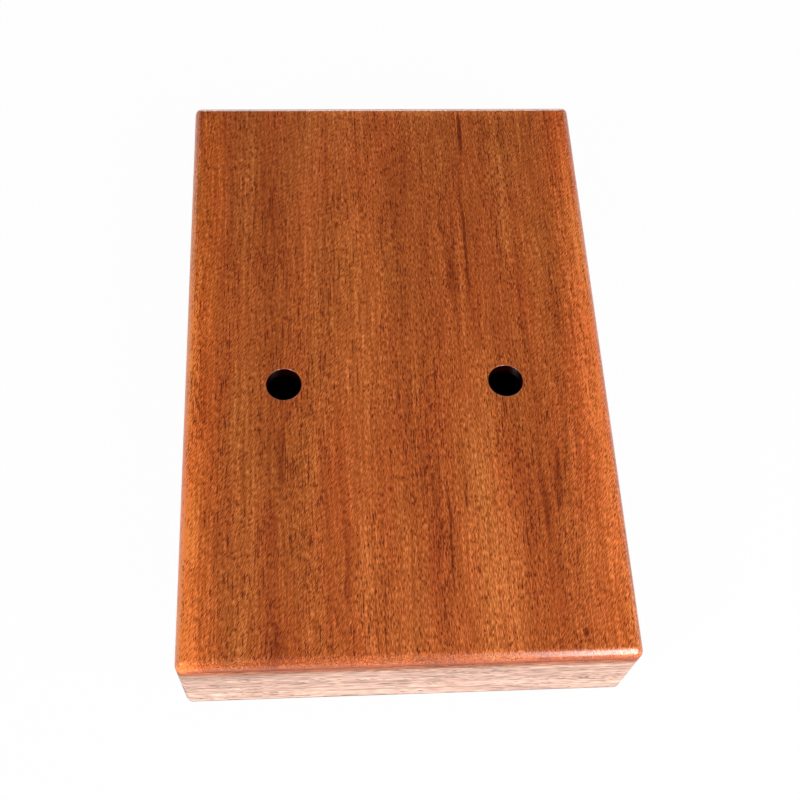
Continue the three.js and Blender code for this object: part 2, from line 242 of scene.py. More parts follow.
def rounded_rectangle(low, high, radii, inset):
    """Points round a rectangle from its right side, with a radius for each corner."""
    x0, y0, x1, y1 = low[0] + inset, low[1] + inset, high[0] - inset, high[1] - inset
    corners = ((x1, y1, -1, -1, 0), (x0, y1, 1, -1, 90), (x0, y0, 1, 1, 180), (x1, y0, -1, 1, 270))
    points = []
    for (x, y, right, up, start), radius in zip(corners, radii):
        r = max(radius - inset, min(radius, MITRE_SOFTENING))
        for step in range(CORNER_STEPS + 1):
            a = math.radians(start + 90 * step / CORNER_STEPS)
            points.append((x + right * r + r * math.cos(a), y + up * r + r * math.sin(a)))
    return points


def board(name, material, box, radii, low_ease, high_ease, holes=()):
    """A board with eased or rounded edges and drilled holes (x, y, radius)."""
    low, high = box
    steps = [EDGE_STEPS if ease > LARGE_EASE else EASE_STEPS for ease in (low_ease, high_ease)]
    bm = bmesh.new()
    rings = []
    for inset, z in side_levels(low[2], high[2], low_ease, high_ease, *steps):
        outline = rounded_rectangle(low, high, radii, inset)
        rings.append(ring(bm, [(x, y, z) for x, y in outline]))
    loft(bm, rings)
    under, over = [rings[0]], [rings[-1]]
    for x, y, radius in holes:
        bore = []
        for inset, z in side_levels(low[2], high[2], HOLE_EASE, HOLE_EASE, EASE_STEPS, EASE_STEPS):
            bore.append(ring(bm, [(*point, z) for point in circle(x, y, radius + inset, HOLE_STEPS)]))
        loft(bm, bore)
        under.append(bore[0])
        over.append(bore[-1])
    fill(bm, under, (0, 0, -1))
    fill(bm, over, (0, 0, 1))
    return even_normals(new_object(name, bm, material))


def turned(points, steps, twist=None):
    """A solid of revolution about Z from (z, radius) pairs, closed at both ends.

    A twist gives what is added to the radius at a height and a share of a turn."""
    bm = bmesh.new()
    rings = []
    for z, radius in points:
        outline = []
        for step in range(steps):
            turn = 2 * math.pi * step / steps
            r = radius + (twist(z, step / steps) if twist else 0.0)
            outline.append((r * math.cos(turn), r * math.sin(turn), z))
        rings.append(ring(bm, outline))
    loft(bm, rings)
    bm.faces.new(rings[0])
    bm.faces.new(rings[-1])
    return bm


def cylinder(name, x, y, radius, low, high):
    """A plain upright cutter."""
    bm = turned([(low, radius), (high, radius)], ROD_STEPS)
    bmesh.ops.translate(bm, vec=(x, y, 0), verts=bm.verts)
    return new_object(name, bm, bright_steel)


def carve(obj, cutters):
    """Cuts the other objects out of this one and removes them."""
    for cutter in cutters:
        modifier = obj.modifiers.new("carve", "BOOLEAN")
        modifier.operation = "DIFFERENCE"
        modifier.solver = "EXACT"
        modifier.object = cutter
    graph = bpy.context.evaluated_depsgraph_get()
    carved = bpy.data.meshes.new_from_object(obj.evaluated_get(graph))
    carved.name = obj.name
    obj.modifiers.clear()
    obj.data = carved
    for cutter in cutters:
        bpy.data.objects.remove(cutter, do_unlink=True)
    return even_normals(sharpen(obj, CARVED_SHARP))


# Node helpers
class Nodes:
    """A node tree, with short ways to add and join its nodes."""

    def __init__(self, tree):
        self.tree = tree
        self.tree.nodes.clear()

    def add(self, kind, inputs=None, **settings):
        node = self.tree.nodes.new(kind)
        for key, value in settings.items():
            setattr(node, key, value)
        for key, value in (inputs or {}).items():
            self.put(node.inputs[key], value)
        return node

    def put(self, socket, value):
        """Joins a socket to the input, or sets it to a plain value."""
        if isinstance(value, bpy.types.NodeSocket):
            self.tree.links.new(value, socket)
        else:
            socket.default_value = value

    def math(self, operation, a, b=0.0):
        return self.add("ShaderNodeMath", {0: a, 1: b}, operation=operation).outputs[0]

    def plus(self, *values):
        total = values[0]
        for value in values[1:]:
            total = self.math("ADD", total, value)
        return total

    def times(self, a, b):
        return self.math("MULTIPLY", a, b)

    def about(self, value, strength):
        """A noise value, swung about zero."""
        return self.times(self.math("SUBTRACT", value, 0.5), strength)

    def spread(self, value, low, high, to_low=0.0, to_high=1.0):
        """A smooth step from one range to another."""
        ranges = {"From Min": low, "From Max": high, "To Min": to_low, "To Max": to_high}
        node = self.add("ShaderNodeMapRange", {"Value": value, **ranges}, interpolation_type="SMOOTHSTEP")
        return node.outputs["Result"]

    def blend(self, factor, a, b):
        """Between two plain values."""
        return self.add("ShaderNodeMix", {0: factor, 2: a, 3: b}, data_type="FLOAT").outputs[0]

    def place(self, vector, size, lean=0.0, shift=(0.0, 0.0, 0.0)):
        """Coordinates in which a feature of this size, in millimetres, measures one."""
        leaning = self.add("ShaderNodeMapping", {"Vector": vector, "Rotation": (0.0, 0.0, lean)}).outputs[0]
        sized = {"Vector": leaning, "Location": shift, "Scale": [1 / side for side in size]}
        return self.add("ShaderNodeMapping", sized).outputs[0]

    def noise(self, vector, detail=1.0, rough=0.5):
        inputs = {"Vector": vector, "Scale": 1.0, "Detail": detail, "Roughness": rough}
        return self.add("ShaderNodeTexNoise", inputs).outputs["Fac"]

    def xyz(self, vector):
        return self.add("ShaderNodeSeparateXYZ", {0: vector}).outputs

    def vector(self, x, y, z):
        return self.add("ShaderNodeCombineXYZ", {0: x, 1: y, 2: z}).outputs[0]

    def sum(self, a, b):
        return self.add("ShaderNodeVectorMath", {0: a, 1: b}, operation="ADD").outputs[0]


class Shader(Nodes):
    """A node material."""

    def __init__(self, name):
        self.material = bpy.data.materials.new(name)
        self.material.use_nodes = True
        super().__init__(self.material.node_tree)
        self.output = self.add("ShaderNodeOutputMaterial")

    def surface(self, node):
        self.put(self.output.inputs["Surface"], node.outputs[0])

    def principled(self, **inputs):
        """The surface, with each input named as on the node but for the blanks."""
        named = {key.replace("_", " "): value for key, value in inputs.items()}
        self.surface(self.add("ShaderNodeBsdfPrincipled", named))

    def millimetres(self):
        """Places on the piece in the part's frame."""
        here = self.add("ShaderNodeTexCoord").outputs["Object"]
        return self.add("ShaderNodeVectorMath", {0: here, "Scale": 1 / MM}, operation="SCALE").outputs[0]

    def bump(self, height, distance, strength):
        inputs = {"Height": height, "Distance": distance * MM, "Strength": strength}
        return self.add("ShaderNodeBump", inputs).outputs[0]


def srgb(red, green, blue):
    """A linear colour from the 0 to 255 values that a screen shows."""
    values = [v / 255 for v in (red, green, blue)]
    return [v / 12.92 if v <= 0.04045 else ((v + 0.055) / 1.055) ** 2.4 for v in values]


# Wood of every kind, with sizes in millimetres
ORANGE_DEPTH = (0.8, 1.18, 1.75)    # how fast red, green and blue go as orange-brown wood darkens
GREY_DEPTH = (0.95, 1.05, 1.1)
DARKEST = -1.7          # limits of the tone that figure, pores and streaks add up to
LIGHTEST = 0.95
PAINTED_HOLLOW_SHADE = 4.5             # painted shade: how much darker the wood is painted in a bore and inside the box
SLOW_WANDER = (30, 130, 10.0)       # size across and along, and reach, of the grain's bends
QUICK_WANDER = (5, 22, 1.0)
FIGURE_DETAIL = 2.0
FIGURE_ROUGH = 0.55
STROKE_EDGE = 0.15      # how soft the edge of a stroke is
STROKE_RELIEF = 0.5
SLANT = math.radians(24)
SLANT_SHIFT = (5.0, 3.0, 1.0)       # sets the slanted strokes apart from the upright ones
PORE_RIM = 0.40         # distance from a cell's middle at which its pore begins
PORE_CORE = 0.12        # and at which it is full
PORE_EDGE = 0.1         # how soft the choice of the cells with a pore is
PORE_RELIEF = -0.8
CROWDING = 1.6          # how strongly pores gather in bands
CROWD_SHIFT = (3.0, 9.0, 2.0)
FACE_CROWD = (6, 80)    # size across and along of those bands
WALL_CROWD = (5, 40)
STREAK_SWAY = 4.0       # the furthest that a streak strays from its line
SWAY_SHARE = 1.6        # sway for each millimetre of a streak's half width
LEAST_SWAY = 1.0
SWAY_SIZE = (9, 14, 9)
BREAK_FROM = 0.3        # fibre value up to which a broken streak is gone
BREAK_TO = 0.6          # and from which it is whole
RELIEF_DEPTH = 0.05

# Mahogany of the back board and soundboard, in millimetres in the part's frame
UPRIGHT_LEFT = (-9.0, -6.0)         # x at which upright strokes begin and have taken over
UPRIGHT_RIGHT = (38.0, 35.0)
DRIFT_SIZE = (25, 60, 25)
DRIFT = 40.0            # how far those borders wander
RED_PATCH_SIZE = (9, 50, 9)
RED_PATCH_SWING = 0.5
SEAM_SHADE = (2.4, 0.8)             # heights above the seam at which its painted shade begins and is full
SEAM_SHADE_TONE = -0.5
DULL_ENDS = (80.0, 81.0)            # distance along Y past which the edge above the seam is dull
BORE_PAINTED_SHADE = (0.14, 0.04)           # distances outside a bore at which its painted shade begins and is full
INNER_PAINTED_SHADE = (0.25, 0.1)           # the same for depths below the soundboard's inner face

# Redder margins of that mahogany: from x, to x, loss of green, and loss of blue for each green
RED_MARGINS = (
    (-47.0, -57.0, 0.14, 3.2),
    (47.0, 57.0, 0.20, 1.6),
)

# Walls' mahogany, in millimetres below the seam with the back board: painted shade, darker and redder, just under
# the seam, and painted light from the floor lower down
SHADE_DEPTH = 5.5
SHADE_TONE = -0.35
WALL_RED_DEPTH = 4.5
WALL_RED = 0.75
WALL_RED_BLUE = 1.7
FLOOR_LIGHT_DEPTHS = (4.0, 28.0)           # painted light from the floor: the wall is painted paler between these
FLOOR_LIGHT_TONES = (-0.05, 0.14)

# Steel: how much its drawing marks and clouds change tone and roughness
MARKS_DETAIL = 2.0
MARKS_NOISE_ROUGH = 0.6
MARKS_TONE = 0.5
MARKS_ROUGH = 0.25
MARKS_DEPTH = 0.01
MARKS_BUMP = 0.2
CLOUD_SIZE = (5, 9, 5)
CLOUD_TONE = 0.3
CLOUD_ROUGH = 0.12

# Colours
MAHOGANY = srgb(181, 89, 34)
# The walls' pale colour is partly painted light, for the strong light from the front on them
PALE_MAHOGANY_AND_FRONT_LIGHT = srgb(197, 159, 141)
ROSEWOOD = srgb(78, 44, 30)
SOFTWOOD = srgb(212, 180, 134)
SPRING_STEEL = srgb(186, 189, 194)
BRIGHT_STEEL = srgb(204, 207, 211)

# Where in endless wood each kind of piece is cut from
BACK_SEED = (0.0, 0.0, 0.0)
FACE_SEED = (240.0, 610.0, 90.0)
ENDS_SEED = (520.0, 130.0, 70.0)
SIDES_SEED = (870.0, 310.0, 40.0)
BLOCK_SEED = (90.0, 470.0, 30.0)
BRACE_SEED = (310.0, 50.0, 60.0)

# Broad bands in the back board: x, y, half width, half length and how much darker. The first six are figure in the
# wood; the last nine, along the edges, are painted light on the left, right and far margins and round-overs, and
# painted shade on the near round-over
BACK_BANDS_AND_EDGE_LIGHT_AND_SHADE = (
    (-36.0, 0.0, 6.0, 150.0, 0.18),
    (-9.0, -15.0, 9.0, 130.0, -0.22),
    (-18.0, -65.0, 5.0, 45.0, 0.15),
    (24.0, -60.0, 9.0, 85.0, -0.28),
    (4.0, -10.0, 8.0, 120.0, 0.12),
    (36.0, -20.0, 6.0, 60.0, 0.10),
    # painted light and painted shade along the edges, from here to the end
    (-62.0, -80.0, 8.0, 170.0, -0.70),
    (-61.0, 30.0, 2.8, 200.0, -0.60),
    (-55.0, 20.0, 5.0, 110.0, -0.25),
    (-59.0, -82.0, 10.0, 45.0, -0.34),
    (62.0, -20.0, 12.0, 150.0, -0.42),
    (57.0, 30.0, 6.0, 90.0, -0.30),
    (58.0, -50.0, 20.0, 60.0, -0.15),
    (15.0, 96.0, 75.0, 10.0, -0.55),
    (-10.0, -94.0, 80.0, 5.0, 0.15),
)

# Dark streaks in the back board: x, y, half width, half length and strength
BACK_STREAKS = (
    (24.2, 80.0, 0.9, 13.0, 1.4),
    (23.0, 40.0, 0.7, 32.0, 1.1),
    (17.4, 27.0, 1.7, 12.0, 0.7),
    (12.2, -59.0, 0.6, 22.0, 1.3),
    (17.1, -45.5, 0.55, 6.0, 1.7),
    (43.0, -41.0, 1.3, 12.0, 0.9),
    (39.1, -51.0, 1.1, 12.0, 0.8),
    (-35.8, 52.0, 0.9, 10.0, 0.8),
    (-33.5, -34.0, 1.3, 13.0, 0.7),
    (-25.9, -57.5, 0.5, 4.5, 1.3),
    (-16.8, -71.0, 0.8, 5.0, 0.8),
    (37.6, 80.0, 2.2, 8.0, 0.5),
    (45.8, -86.0, 0.9, 1.6, 1.2),
    (-35.0, -87.0, 2.6, 7.0, 0.6),
)


# Materials
class Wood(Shader):
    """Wood with its grain along Y, before it is turned about Z.

    All figure adds up to one tone, which deepens or thins the wood's own colour."""

    def __init__(self, name, colour, depth, seed, turn=0.0):
        super().__init__(name)
        self.colour, self.depth = colour, depth
        self.spot = self.millimetres()
        self.x, self.y, self.z = self.xyz(self.spot)
        self.here = self.place(self.spot, (1, 1, 1), turn, seed)
        wander = self.plus(self.wander(*SLOW_WANDER), self.wander(*QUICK_WANDER))
        self.grain = self.sum(self.here, self.vector(wander, 0.0, wander))
        self.tones = []
        self.reds = []
        self.relief = 0.0
        self.dull = 0.0

    def wander(self, across, along, reach):
        """How far the grain strays to the side."""
        return self.about(self.noise(self.place(self.here, (across, along, across))), reach)

    def figure(self, across, along, strength):
        """Bands, growth lines or fibres along the grain."""
        value = self.noise(self.place(self.grain, (across, along, across)), FIGURE_DETAIL, FIGURE_ROUGH)
        self.tones.append(self.about(value, strength))
        return value

    def strokes(self, across, along, strength, leaning=None):
        """Short strokes where the fibres rise to the surface; they slant where leaning is one."""
        size = (across, along, across)
        value = self.noise(self.place(self.here, size))
        if leaning is not None:
            slanted = self.noise(self.place(self.here, size, SLANT, SLANT_SHIFT))
            value = self.blend(leaning, value, slanted)
        self.tones.append(self.spread(value, 0.5 - STROKE_EDGE, 0.5 + STROKE_EDGE, -strength, strength))
        self.relief = self.plus(self.relief, self.times(value, STROKE_RELIEF))

    def pores(self, across, along, strength, share, crowd=FACE_CROWD, where=1.0, lean=0.0):
        """Open pores: short dark dashes, crowded in some bands, in the region where this is one."""
        spot = self.place(self.grain, (across, along, across), lean)
        cells = self.add("ShaderNodeTexVoronoi", {"Vector": spot, "Scale": 1.0, "Randomness": 1.0}).outputs
        bands = self.noise(self.place(self.grain, (crowd[0], crowd[1], crowd[0]), shift=CROWD_SHIFT))
        chance = self.plus(self.xyz(cells["Color"])[0], self.about(bands, CROWDING))
        there = self.spread(chance, 1 - share, 1 - share + PORE_EDGE)
        dash = self.times(self.times(self.spread(cells["Distance"], PORE_RIM, PORE_CORE), there), where)
        self.tones.append(self.times(dash, -strength))
        self.relief = self.plus(self.relief, self.times(dash, PORE_RELIEF))

    def streak(self, x, y, half_width, half_length, strength, broken=None):
        """One streak at a place on the piece, darker, or lighter where its strength is negative."""
        along = self.math("DIVIDE", self.math("SUBTRACT", self.y, y), half_length)
        sway = min(SWAY_SHARE * half_width + LEAST_SWAY, STREAK_SWAY)
        bend = self.about(self.noise(self.place(self.spot, SWAY_SIZE)), sway)
        across = self.math("SUBTRACT", self.plus(self.x, bend), x)
        across = self.math("DIVIDE", across, half_width)
        far = self.plus(self.times(across, across), self.times(along, along))
        mark = self.spread(far, 1.0, 0.0)
        if broken is not None:
            mark = self.times(mark, self.spread(broken, BREAK_FROM, BREAK_TO))
        self.tones.append(self.times(mark, -strength))

    def redden(self, amount, blue=1.0):
        """Takes green out of the colour, and blue in some proportion to it."""
        self.reds.append((amount, self.times(amount, blue)))

    def finish(self, gloss, bump=0.3, specular=0.5, dark=()):
        """The material; its roughness runs from one gloss value to the other as the relief falls."""
        tone = self.math("MINIMUM", self.math("MAXIMUM", self.plus(*self.tones), DARKEST), LIGHTEST)
        # Painted shade: each dark mask darkens the colour in a bore or inside the box
        for mask in dark:
            tone = self.plus(tone, self.times(mask, -PAINTED_HOLLOW_SHADE))
        powers = [self.times(tone, share) for share in self.depth]
        for channel, losses in zip((1, 2), zip(*self.reds)):
            powers[channel] = self.math("SUBTRACT", powers[channel], self.plus(*losses))
        gains = [self.math("POWER", math.e, power) for power in powers]
        colour = self.vector(*(self.times(gain, value) for gain, value in zip(gains, self.colour)))
        rough = self.math("MAXIMUM", self.spread(self.relief, 0.0, 1.0, gloss[1], gloss[0]), self.dull)
        self.principled(Base_Color=colour, Roughness=rough, Specular_IOR_Level=specular,
                        Normal=self.bump(self.relief, RELIEF_DEPTH, bump))
        return self.material


def bore_wall(s, x, y, radius):
    """One on the wall of a drilled hole, where painted shade goes."""
    across = s.math("SUBTRACT", s.x, x)
    along = s.math("SUBTRACT", s.y, y)
    far = s.math("SQRT", s.plus(s.times(across, across), s.times(along, along)))
    return s.spread(far, *(radius + outside for outside in BORE_PAINTED_SHADE))


def inner_face(s, height):
    """One on the soundboard's inner face, which lies at this height, where painted shade goes."""
    return s.spread(s.z, *(height - below for below in INNER_PAINTED_SHADE))


def mahogany(name, seed, bands=(), streaks=(), bores=(), inside=None, seam=None):
    """Lacquered mahogany, with painted shade in its bores, on an inside face and just above a seam."""
    s = Wood(name, MAHOGANY, ORANGE_DEPTH, seed)
    s.figure(across=14, along=300, strength=0.4)
    s.figure(across=3.0, along=120, strength=0.7)
    fibres = s.figure(across=0.6, along=26, strength=1.4)
    drifting_x = s.plus(s.x, s.about(s.noise(s.place(s.spot, DRIFT_SIZE)), DRIFT))
    upright = s.times(s.spread(drifting_x, *UPRIGHT_LEFT), s.spread(drifting_x, *UPRIGHT_RIGHT))
    leaning = s.math("SUBTRACT", 1.0, upright)
    s.strokes(across=0.23, along=1.6, strength=0.45, leaning=leaning)
    s.pores(across=0.5, along=1.7, strength=1.6, share=0.55, where=upright)
    s.pores(across=0.45, along=1.9, strength=1.6, share=0.55, where=leaning, lean=SLANT)
    s.pores(across=0.5, along=4.6, strength=1.8, share=0.24)
    s.pores(across=0.5, along=13.0, strength=1.3, share=0.13)
    s.redden(s.about(s.noise(s.place(s.grain, RED_PATCH_SIZE)), RED_PATCH_SWING))
    for start, end, amount, blue in RED_MARGINS:
        s.redden(s.spread(s.x, start, end, 0.0, amount), blue)
    # Some of the bands paint light and shade along the board's edges
    for streak in bands:
        s.streak(*streak)
    for streak in streaks:
        s.streak(*streak, broken=fibres)
    if seam is not None:
        # Painted shade on the round-over just above the seam
        near_seam = s.spread(s.z, *(seam + above for above in SEAM_SHADE))
        s.tones.append(s.times(near_seam, SEAM_SHADE_TONE))
        s.dull = s.times(near_seam, s.spread(s.math("ABSOLUTE", s.y), *DULL_ENDS))
    # Painted shade in the bores and on the soundboard's inner face, inside the box
    dark = [bore_wall(s, *bore) for bore in bores]
    if inside is not None:
        dark.append(inner_face(s, inside))
    return s.finish(gloss=(0.10, 0.24), bump=0.25, specular=0.8, dark=dark)


def wall_mahogany_with_painted_light(name, seed, turn, seam):
    """The walls' wood, with painted shade, darker and redder, just below the seam with the back board, and painted
    light from the floor lower down; its pale colour is partly painted light.
    """
    s = Wood(name, PALE_MAHOGANY_AND_FRONT_LIGHT, GREY_DEPTH, seed, turn)
    s.figure(across=7, along=160, strength=0.5)
    s.figure(across=1.1, along=36, strength=1.7)
    s.strokes(across=0.5, along=4.5, strength=0.3)
    s.pores(across=0.7, along=6.5, strength=2.0, share=0.36, crowd=WALL_CROWD)
    s.pores(across=0.6, along=2.2, strength=2.0, share=0.30, crowd=WALL_CROWD)
    # Painted shade and redness just below the seam, and painted light from the floor lower down
    below = s.math("SUBTRACT", seam, s.z)
    s.tones.append(s.spread(below, 0.0, SHADE_DEPTH, SHADE_TONE, 0.0))
    s.redden(s.spread(below, 0.0, WALL_RED_DEPTH, WALL_RED, 0.0), WALL_RED_BLUE)
    s.tones.append(s.spread(below, *FLOOR_LIGHT_DEPTHS, *FLOOR_LIGHT_TONES))
    return s.finish(gloss=(0.45, 0.6), specular=0.2)


def dark_hardwood():
    """The bridge block's wood."""
    s = Wood("rosewood", ROSEWOOD, ORANGE_DEPTH, BLOCK_SEED, QUARTER_TURN)
    s.figure(across=5, along=120, strength=1.6)
    s.figure(across=0.9, along=40, strength=1.2)
    s.strokes(across=0.25, along=2.0, strength=0.1)
    s.pores(across=0.5, along=3.0, strength=0.8, share=0.35)
    return s.finish(gloss=(0.42, 0.6))


def bare_softwood():
    """The brace's wood."""
    s = Wood("brace_softwood", SOFTWOOD, ORANGE_DEPTH, BRACE_SEED, QUARTER_TURN)
    s.figure(across=1.7, along=160, strength=0.8)
    s.figure(across=0.4, along=14, strength=0.4)
    s.strokes(across=0.3, along=1.2, strength=0.05)
    return s.finish(gloss=(0.6, 0.8))


def steel(name, colour, rough, marks_size, turn=0.0):
    """Steel with fine drawing marks along Y, before it is turned about Z."""
    s = Shader(name)
    here = s.place(s.millimetres(), (1, 1, 1), turn)
    marks = s.noise(s.place(here, marks_size), MARKS_DETAIL, MARKS_NOISE_ROUGH)
    cloud = s.noise(s.place(here, CLOUD_SIZE))
    tone = s.plus(s.about(marks, MARKS_TONE), s.about(cloud, CLOUD_TONE), 1.0)
    s.principled(Base_Color=s.vector(*(s.times(tone, value) for value in colour)), Metallic=1.0,
                 Roughness=s.plus(s.about(marks, MARKS_ROUGH), s.about(cloud, CLOUD_ROUGH), rough),
                 Normal=s.bump(marks, MARKS_DEPTH, MARKS_BUMP))
    return s.material


block_wood = dark_hardwood()
brace_wood = bare_softwood()
spring_steel = steel("spring_steel", SPRING_STEEL, rough=0.30, marks_size=(0.10, 12.0, 0.10))
bright_steel = steel("bright_steel", BRIGHT_STEEL, rough=0.17, marks_size=(0.2, 9.0, 0.2), turn=QUARTER_TURN)


# Places of the pieces, in millimetres
def mm_box(node):
    low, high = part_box(node)
    return [v / MM for v in low], [v / MM for v in high]


def middle(node):
    low, high = mm_box(node)
    return [(a + b) / 2 for a, b in zip(low, high)]


def opening(name):
    """The x and y of the middle of a hole that the record names."""
    openings = frame["record"]["physics"]["openings"]
    low, high = next(hole["box_m"] for hole in openings if hole["name"] == name)
    return (low[0] + high[0]) / 2 / MM, (low[1] + high[1]) / 2 / MM


def keep(piece, node):
    """The piece stands for a node of the box body."""
    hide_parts(node)
    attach(piece, "box")


screw_sides = ("outer_left", "inner_left", "inner_right", "outer_right")
screw_nodes = [f"bridge_screw_{side}" for side in screw_sides]
screw_places = [middle(node)[:2] for node in screw_nodes]
saddle_y, saddle_z = middle("saddle_rod")[1:]
rear_y, rear_z = middle("rear_rod")[1:]
pressure_y = middle("pressure_rod")[1]


# Sound box
def back_board():
    box = mm_box("back_board")
    holes = [(*opening(name), BACK_HOLE_RADIUS) for name in ("back_hole_left", "back_hole_right")]
    wood = mahogany("mahogany_back", BACK_SEED, BACK_BANDS_AND_EDGE_LIGHT_AND_SHADE, BACK_STREAKS, holes, seam=box[0][2])
    corners = [CORNER_RADIUS] * 4
    piece = board("wood_back_board", wood, box, corners, GLUE_EDGE_EASE, EDGE_ROUND, holes)
    keep(piece, "back_board")


def soundboard():
    box = mm_box("soundboard")
    wood = mahogany("mahogany_face", FACE_SEED, inside=box[1][2])
    holes = [(*opening("sound_hole"), SOUND_HOLE_RADIUS)]
    holes += [(x, y, SCREW_HOLE_RADIUS) for x, y in screw_places]
    corners = [CORNER_RADIUS] * 4
    piece = board("wood_soundboard", wood, box, corners, FACE_ROUND, GLUE_EDGE_EASE, holes)
    keep(piece, "soundboard")


def walls():
    """End walls with the box's corners, and side walls between them."""
    seam = mm_box("tail_wall")[1][2]
    end_wood = wall_mahogany_with_painted_light("painted_light_mahogany_ends", ENDS_SEED, QUARTER_TURN, seam)
    side_wood = wall_mahogany_with_painted_light("painted_light_mahogany_sides", SIDES_SEED, 0.0, seam)
    outer, inner = CORNER_RADIUS, WALL_EASE
    for node, radii, wood in (
        ("head_wall", (outer, outer, inner, inner), end_wood),
        ("tail_wall", (inner, inner, outer, outer), end_wood),
        ("left_wall", (inner,) * 4, side_wood),
        ("right_wall", (inner,) * 4, side_wood),
    ):
        piece = board(f"wood_{node}", wood, mm_box(node), radii, GLUE_EDGE_EASE, GLUE_EDGE_EASE)
        keep(piece, node)


back_board()
soundboard()
walls()
brace = frame["nodes"]["bridge_brace"]
brace.data.materials.clear()
brace.data.materials.append(brace_wood)


# Bridge
def rod(node):
    """A round rod along X with rounded ends, at its node's place."""
    low, high = mm_box(node)
    radius, half_length = (high[2] - low[2]) / 2, (high[0] - low[0]) / 2
    levels = side_levels(-half_length, half_length, ROD_END_ROUND, ROD_END_ROUND, EASE_STEPS, EASE_STEPS)
    bm = turned([(along, radius - inset) for inset, along in levels], ROD_STEPS)
    bmesh.ops.rotate(bm, matrix=Matrix.Rotation(QUARTER_TURN, 3, "Y"), verts=bm.verts)
    bmesh.ops.translate(bm, vec=middle(node), verts=bm.verts)
    return sharpen(new_object(f"steel_{node}", bm, bright_steel), ROD_SHARP)


def pressure_rod():
    """The rod across the tines, with a spot face and a bore for each screw."""
    seat_z = mm_box(screw_nodes[0])[0][2] + HEAD_HEIGHT
    low, high = seat_z - SEAT_CUT, seat_z + BORE_CUT
    cutters = [cylinder("seat", x, y, SEAT_RADIUS, low, seat_z) for x, y in screw_places]
    cutters += [cylinder("bore", x, y, SCREW_HOLE_RADIUS, low, high) for x, y in screw_places]
    return carve(rod("pressure_rod"), cutters)


def groove(node, y, up):
    """(y, height) round the block's groove for a rod whose axis is at this place."""
    low, high = mm_box(node)
    radius = (high[2] - low[2]) / 2 + ROD_SEAT_GAP
    angles = [math.radians(angle) for angle in evenly(0, 180, GROOVE_STEPS)]
    return [(y + radius * math.cos(a), up - radius * math.sin(a)) for a in angles]


def block_profile():
    """The bridge block's section in (y, z), worked out in heights above the soundboard."""
    low, high = mm_box("bridge_block")
    face = mm_box("soundboard")[0][2]
    base = face - high[2]
    saddle_up, rear_up = face - saddle_z, face - rear_z
    rear_foot = (rear_y - RIDGE_HALF, rear_up)
    saddle_foot = (saddle_y + RIDGE_HALF, saddle_up)
    valley = (pressure_y, BLOCK_VALLEY)
    points = [(low[1], base), (high[1], base), (high[1], BLOCK_EDGE_HEIGHT), (rear_y + RIDGE_HALF, rear_up)]
    points += groove("rear_rod", rear_y, rear_up)
    points.append(rear_foot)
    points += quadratic(rear_foot, (pressure_y + RIDGE_HALF, BLOCK_VALLEY), valley)
    points += quadratic(valley, (saddle_y + RIDGE_HALF, BLOCK_VALLEY), saddle_foot)
    points += groove("saddle_rod", saddle_y, saddle_up)
    points += [(saddle_y - RIDGE_HALF, saddle_up), (low[1], BLOCK_EDGE_HEIGHT)]
    return [(y, face - up) for y, up in points]


def bridge_block():
    """The block with a bore for each screw and eased edges."""
    low, high = mm_box("bridge_block")
    bm = bmesh.new()
    profile = block_profile()
    ends = [ring(bm, [(x, y, z) for y, z in profile]) for x in (low[0], high[0])]
    band(bm, *ends)
    for loop in ends:
        bm.faces.new(loop)
    block = new_object("wood_bridge_block", bm, block_wood)
    bottom, top = low[2] - BLOCK_CUT, high[2] + BLOCK_CUT
    carve(block, [cylinder("bore", x, y, SCREW_HOLE_RADIUS, bottom, top) for x, y in screw_places])
    block.modifiers.clear()
    bevel = block.modifiers.new("eased_edges", "BEVEL")
    bevel.width = BLOCK_EASE * MM
    bevel.segments = BEVEL_STEPS
    bevel.limit_method = "ANGLE"
    bevel.angle_limit = math.radians(BEVEL_FROM)
    return even_normals(block)


keep(rod("saddle_rod"), "saddle_rod")
keep(rod("rear_rod"), "rear_rod")
keep(pressure_rod(), "pressure_rod")
keep(bridge_block(), "bridge_block")


# Bridge screws
def thread(z, turn):
    """How far the thread's flank lies inside its crest, at a height and a share of a turn."""
    phase = (z / THREAD_PITCH - turn) % 1.0
    return -THREAD_DEPTH * min(1.0, THREAD_FLANK * abs(phase - 0.5))


def point_taper(z, point_z):
    """One along the shank, falling to nothing over its point."""
    return min(1.0, max(0.0, (point_z - z) / SCREW_POINT))


def cross_recess(x, y, head_z):
    """Two tapered bars that cut a cross into a head."""
    bars = []
    for wide, deep in ((CROSS_LENGTH, CROSS_WIDTH), (CROSS_WIDTH, CROSS_LENGTH)):
        bm = bmesh.new()
        bmesh.ops.create_cube(bm, size=1.0)
        bmesh.ops.scale(bm, vec=(wide, deep, 2 * CROSS_DEPTH), verts=bm.verts)
        inner = [vert for vert in bm.verts if vert.co.z > 0]
        bmesh.ops.scale(bm, vec=(CROSS_TAPER, CROSS_TAPER, 1.0), verts=inner)
        bmesh.ops.translate(bm, vec=(x, y, head_z), verts=bm.verts)
        bars.append(new_object("recess", bm, bright_steel))
    return bars


def screw_head(name, x, y, head_z, radius):
    """A domed head with a cross recess, face down."""
    seat_z = head_z + HEAD_HEIGHT
    flat = (head_z, HEAD_FLAT)
    points = [(head_z, HEAD_END_RADIUS), flat]
    points += quadratic(flat, (head_z, radius), (head_z + HEAD_HEIGHT / 2, radius))
    points += [(seat_z, radius), (seat_z + HEAD_UNDER_RISE, HEAD_END_RADIUS)]
    bm = turned(points, ROD_STEPS)
    bmesh.ops.translate(bm, vec=(x, y, 0), verts=bm.verts)
    return carve(new_object(name, bm, bright_steel), cross_recess(x, y, head_z))


